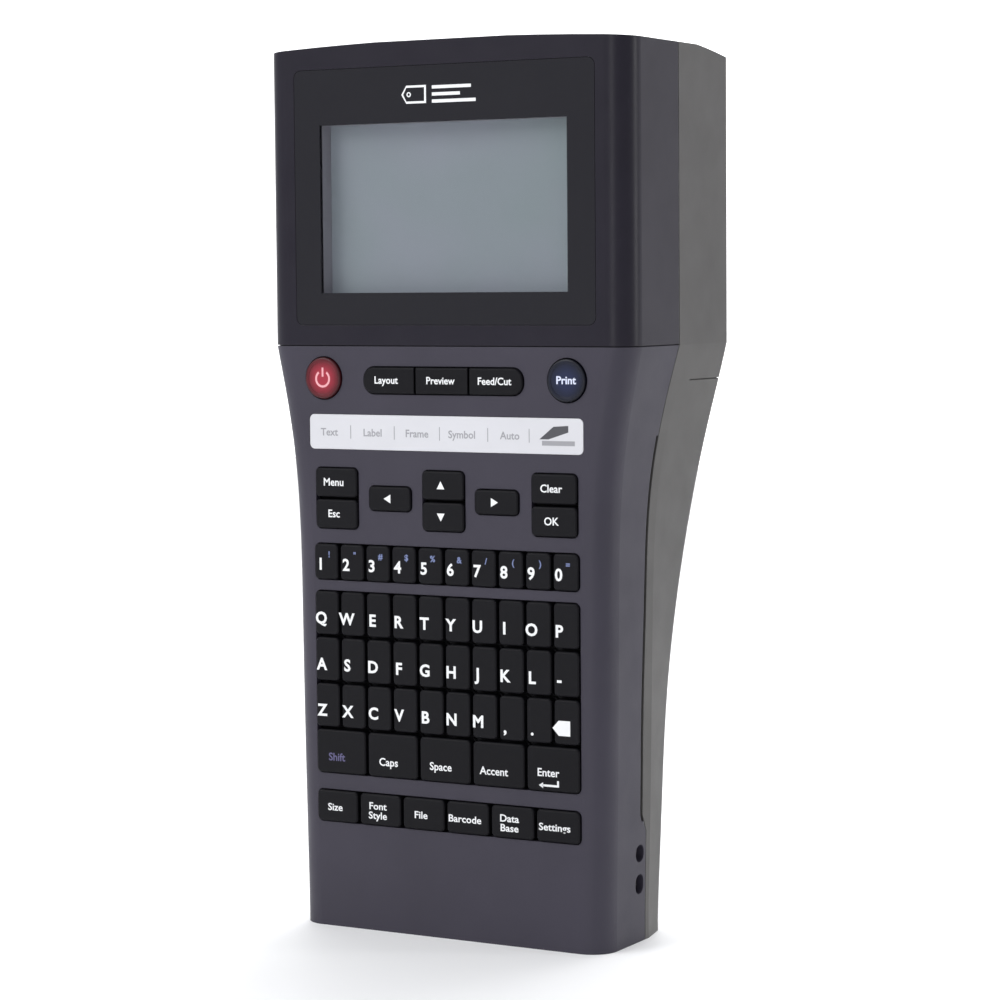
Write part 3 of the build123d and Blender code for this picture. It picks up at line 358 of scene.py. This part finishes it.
# ---------------------------------------------------------------- printed marks
class Marks:
    """Printed shapes on one body, in millimetres in the x-z plane, joined into one mesh."""

    def __init__(self, name, body, slot, face_y, material):
        self.name, self.body, self.slot = name, body, slot
        self.face_y, self.material = face_y, material
        self.mesh = bmesh.new()

    def word(self, text, x, z, height, weight=0.0, width=1.0):
        """Text with capitals of a given height, centred on a point."""
        curve = bpy.data.curves.new("word", "FONT")
        curve.body = text
        curve.align_x, curve.align_y = "CENTER", "CENTER"
        curve.size = height / CAP_HEIGHT
        curve.offset = weight
        curve.extrude = PRINT_T / MM / 2
        curve.resolution_u = 3
        holder = bpy.data.objects.new("word", curve)
        flat = bpy.data.meshes.new_from_object(holder)
        to_face = Matrix.Translation((x * MM, self.face_y - PRINT_T / 2, z * MM))
        to_face @= Matrix.Rotation(math.radians(90), 4, "X")
        to_face @= Matrix.Diagonal((width * MM, MM, MM, 1))
        flat.transform(to_face)
        self.mesh.from_mesh(flat)
        bpy.data.objects.remove(holder)
        bpy.data.curves.remove(curve)
        bpy.data.meshes.remove(flat)

    def shape(self, points):
        """A flat outline, given anticlockwise as seen from in front."""
        front = [self.mesh.verts.new((x * MM, self.face_y - PRINT_T, z * MM)) for x, z in points]
        back = [self.mesh.verts.new((x * MM, self.face_y, z * MM)) for x, z in points]
        self.mesh.faces.new(front)
        self.mesh.faces.new(reversed(back))
        for i in range(len(points)):
            j = (i + 1) % len(points)
            self.mesh.faces.new((front[j], front[i], back[i], back[j]))

    def bar(self, x0, x1, z0, z1):
        self.shape([(x0, z0), (x1, z0), (x1, z1), (x0, z1)])

    def arc(self, x, z, radius, thick, start, end, steps=20):
        angles = [math.radians(start + (end - start) * i / steps) for i in range(steps + 1)]
        inner, outer = [[(x + r * math.cos(a), z + r * math.sin(a)) for a in angles]
                        for r in (radius - thick / 2, radius + thick / 2)]
        for i in range(steps):
            self.shape([inner[i], outer[i], outer[i + 1], inner[i + 1]])

    def finish(self):
        mesh = bpy.data.meshes.new(self.name)
        self.mesh.normal_update()
        self.mesh.to_mesh(mesh)
        self.mesh.free()
        mesh.materials.append(self.material)
        piece = bpy.data.objects.new(self.name, mesh)
        bpy.context.scene.collection.objects.link(piece)
        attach(piece, self.body)


def face_of(node):
    """The y of a node's front face."""
    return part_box(node)[0][1]


def centre_of(node):
    """The middle of a node seen from in front, in millimetres."""
    low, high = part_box(node)
    return ((low[0] + high[0]) / 2 / MM, (low[2] + high[2]) / 2 / MM)


def key_marks(node, material, dish=0.0):
    """Marks on a key; a key's node and its body have the same name."""
    return Marks(node + "_legend", node, slots[node], face_of(node) + dish, material)


def columns(count):
    """Key centres of a row of equal keys, in millimetres."""
    low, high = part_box("digit_keys")
    width = (high[0] - low[0]) / MM
    return [low[0] / MM + width * (i + 0.5) / count for i in range(count)]


def single_key_legends(white, pale_red, pale_blue):
    """The round keys, the pill, menu, clear and the arrows."""
    power = key_marks("power_key", pale_red, DISH)
    x, z = centre_of("power_key")
    power.arc(x, z - 0.2, 2.2, 0.62, 125, 415)
    power.bar(x - 0.31, x + 0.31, z + 0.4, z + 3.0)
    power.finish()

    go = key_marks("print_key", pale_blue, DISH)
    go.word("Print", *centre_of("print_key"), 2.1, 0.07, 1.05)
    go.finish()

    words = {"layout_key": "Layout", "preview_key": "Preview", "feed_key": "Feed/Cut",
             "menu_key": "Menu", "escape_key": "Esc", "clear_key": "Clear", "ok_key": "OK"}
    aside = {"layout_key": -0.6, "preview_key": -0.4, "feed_key": -0.6}
    for node, text in words.items():
        x, z = centre_of(node)
        marks = key_marks(node, white)
        marks.word(text, x + aside.get(node, -0.8), z, 2.0 if node in aside else 2.15, 0.05, 1.0)
        marks.finish()

    reach = 1.25
    points = {"left_key": [(-reach, 0), (reach * 0.8, -reach), (reach * 0.8, reach)],
              "right_key": [(reach, 0), (-reach * 0.8, reach), (-reach * 0.8, -reach)],
              "up_key": [(-reach, -reach * 0.8), (reach, -reach * 0.8), (0, reach)],
              "down_key": [(reach, reach * 0.8), (-reach, reach * 0.8), (0, -reach)]}
    for node, outline in points.items():
        x, z = centre_of(node)
        marks = key_marks(node, white)
        marks.shape([(x - 0.6 + dx, z + dz) for dx, dz in outline])
        marks.finish()


def row_legends(white, dim, secondary):
    """The digit, letter, modifier and function rows."""
    low = -2.0             # characters stand left of the middle of their keys
    digits = key_marks("digit_keys", white)
    symbols = Marks("digit_keys_symbols", "digit_keys", slots["digit_keys"], face_of("digit_keys"),
                    secondary)
    z = centre_of("digit_keys")[1]
    for x, digit, symbol in zip(columns(10), "1234567890", "!\"#$%&/()="):
        digits.word(digit, x + low, z - 0.9, 3.3, 0.13, 1.0)
        symbols.word(symbol, x + 0.9, z + 2.0, 1.7, 0.06, 1.0)
    digits.finish()
    symbols.finish()

    rows = {"letter_keys_top": "QWERTYUIOP", "letter_keys_middle": "ASDFGHJKL-",
            "letter_keys_bottom": "ZXCVBNM,."}
    for node, letters in rows.items():
        marks = key_marks(node, white)
        z = centre_of(node)[1] - 1.7
        for x, letter in zip(columns(10), letters):
            drop = 1.0 if letter in ",." else 0.0
            marks.word(letter, x + low, z - drop, 3.3, 0.15, 1.0)
        if node == "letter_keys_bottom":
            x = columns(10)[-1] - 1.2
            left, right, tall = x - 3.0, x + 2.5, 2.1
            marks.shape([(left, z), (left + 1.9, z - tall), (right, z - tall),
                         (right, z + tall), (left + 1.9, z + tall)])
        marks.finish()

    modifiers = key_marks("modifier_keys", white)
    z = centre_of("modifier_keys")[1] - 2.0
    centres = columns(5)
    for x, text in zip(centres[1:], ("Caps", "Space", "Accent", "Enter")):
        modifiers.word(text, x - 1.4, z + (0.9 if text == "Enter" else 0), 2.2, 0.05, 1.0)
    x = centres[4] - 0.6
    modifiers.bar(x - 2.6, x + 2.6, z - 2.9, z - 2.3)
    modifiers.bar(x + 2.0, x + 2.6, z - 2.3, z - 1.1)
    modifiers.shape([(x - 3.7, z - 2.6), (x - 2.4, z - 3.4), (x - 2.4, z - 1.8)])
    modifiers.finish()
    shift = Marks("modifier_keys_shift", "modifier_keys", slots["modifier_keys"],
                  face_of("modifier_keys"), dim)
    shift.word("Shift", centres[0] - 1.6, z + 0.3, 2.2, 0.05, 1.0)
    shift.finish()

    functions = key_marks("function_keys", white)
    z = centre_of("function_keys")[1] - 0.4
    labels = (("Size",), ("Font", "Style"), ("File",), ("Barcode",), ("Data", "Base"),
              ("Settings",))
    for x, lines in zip(columns(6), labels):
        for i, text in enumerate(lines):
            rise = (len(lines) - 1) * 1.35 - i * 2.7
            functions.word(text, x - 0.9, z + rise, 2.0, 0.05, 1.12)
    functions.finish()


def casing_marks(white, grey_ink, dark_ink):
    """Words on the white strip and a plain tag icon over the display."""
    face = face_of("legend_strip")
    z = centre_of("legend_strip")[1]
    words = Marks("strip_words", "case", slots["legend_strip"], face, grey_ink)
    for x, text in ((-37.7, "Text"), (-23.2, "Label"), (-8.6, "Frame"), (6.0, "Symbol"),
                    (21.3, "Auto")):
        words.word(text, x, z - 0.2, 2.1, 0.05, 1.0)
    for x in (-30.5, -16.0, -1.2, 14.3, 27.4):
        words.bar(x - 0.12, x + 0.12, z - 1.9, z + 1.9)
    words.bar(31.4, 41.6, z - 2.6, z - 1.3)
    words.finish()
    icon = Marks("strip_icon", "case", slots["legend_strip"], face, dark_ink)
    icon.shape([(30.6, z - 0.9), (33.4, z - 0.9), (39.6, z + 1.1), (39.6, z + 2.9), (35.0, z + 2.6)])
    icon.finish()

    tag = Marks("tag_icon", "case", slots["display_window"], face_of("display_window"), white)
    x0, x1, z0, z1 = -12.5, -4.5, 234.6, 239.6
    t = 0.6                # line thickness of the tag
    for outline in ((x0 + 1.6, x1, z0, z0 + t), (x0 + 1.6, x1, z1 - t, z1),
                    (x1 - t, x1, z0 + t, z1 - t)):
        tag.bar(*outline)
    middle = (z0 + z1) / 2
    tag.shape([(x0, middle), (x0 + 1.6, z0), (x0 + 1.6, z0 + t), (x0 + t, middle)])
    tag.shape([(x0, middle), (x0 + t, middle), (x0 + 1.6, z1 - t), (x0 + 1.6, z1)])
    tag.arc(x0 + 2.4, middle, 0.55, 0.35, 0, 360, 12)
    for i, length in enumerate((12.5, 9.0, 14.0)):
        top = z1 - 0.2 - i * 1.95
        tag.bar(-2.6, -2.6 + length, top - 0.9, top)
    tag.finish()


# ---------------------------------------------------------------- stage
def plane(name, corners, colour, rough, glow):
    """A flat white part of the stage that glows a little."""
    material, _, shader, _ = new_material(name + "_white", colour, rough)
    shader.inputs["Emission Color"].default_value = (1, 1, 1, 1)
    shader.inputs["Emission Strength"].default_value = glow
    mesh = bpy.data.meshes.new(name)
    mesh.from_pydata(corners, [], [(0, 1, 2, 3)])
    mesh.materials.append(material)
    piece = bpy.data.objects.new(name, mesh)
    bpy.context.scene.collection.objects.link(piece)


def area_light(name, place, target, width, height, power, colour):
    lamp = bpy.data.lights.new(name, "AREA")
    lamp.shape = "RECTANGLE"
    lamp.size, lamp.size_y = width, height
    lamp.energy = power
    lamp.color = colour
    holder = bpy.data.objects.new(name, lamp)
    holder.location = place
    holder.rotation_mode = "QUATERNION"
    holder.rotation_quaternion = (Vector(target) - Vector(place)).to_track_quat("-Z", "Y")
    bpy.context.scene.collection.objects.link(holder)


def make_stage():
    """A pale floor, a backdrop behind it, an even world and five soft lights."""
    left, far = -FLOOR_REACH, FLOOR_REACH
    plane("floor", [(left, left, 0), (FLOOR_RIGHT, left, 0), (FLOOR_RIGHT, far, 0), (left, far, 0)],
          (0.93, 0.93, 0.93), 0.6, 0.07)
    low, right, back = -0.1, BACKDROP_RIGHT, BACKDROP_Y
    plane("backdrop", [(left, back, low), (right, back, low), (right, back, far), (left, back, far)],
          (0.9, 0.9, 0.9), 0.8, 0.85)

    world = bpy.data.worlds.new("studio")
    world.use_nodes = True
    background = world.node_tree.nodes["Background"]
    background.inputs["Color"].default_value = (0.93, 0.95, 1.0, 1)
    background.inputs["Strength"].default_value = 0.55
    bpy.context.scene.world = world

    for light in LIGHTS:
        area_light(*light)


def make_camera():
    """A viewpoint in front of the keys, to their right and slightly below the top."""
    yaw, pitch, roll = CAMERA_YAW, CAMERA_PITCH, CAMERA_ROLL
    forward = Vector((-math.sin(yaw) * math.cos(pitch), math.cos(yaw) * math.cos(pitch),
                      -math.sin(pitch)))
    level = Vector((math.cos(yaw), math.sin(yaw), 0))
    upright = level.cross(forward)
    right = math.cos(roll) * level + math.sin(roll) * upright
    up = math.cos(roll) * upright - math.sin(roll) * level
    turn = Matrix((right, up, -forward)).transposed().to_4x4()
    lens = bpy.data.cameras.new("camera")
    lens.sensor_width = CAMERA_SENSOR
    lens.lens = CAMERA_LENS
    holder = bpy.data.objects.new("camera", lens)
    holder.matrix_world = Matrix.Translation(CAMERA_PLACE) @ turn
    bpy.context.scene.collection.objects.link(holder)
    bpy.context.scene.camera = holder


# ---------------------------------------------------------------- build
slots = {part["node"]: part["material_slot"] for part in frame["record"]["subparts"]}
finishes = make_materials()
for node, piece in frame["nodes"].items():
    piece.data.materials.clear()
    piece.data.materials.append(finishes[slots[node]])

inks = make_inks()
single_key_legends(inks["white_ink"], inks["pale_red_ink"], inks["pale_blue_ink"])
row_legends(inks["white_ink"], inks["dim_ink"], inks["blue_ink"])
casing_marks(inks["white_ink"], inks["grey_ink"], inks["dark_ink"])

make_stage()
make_camera()
bpy.context.scene.view_settings.view_transform = "Standard"
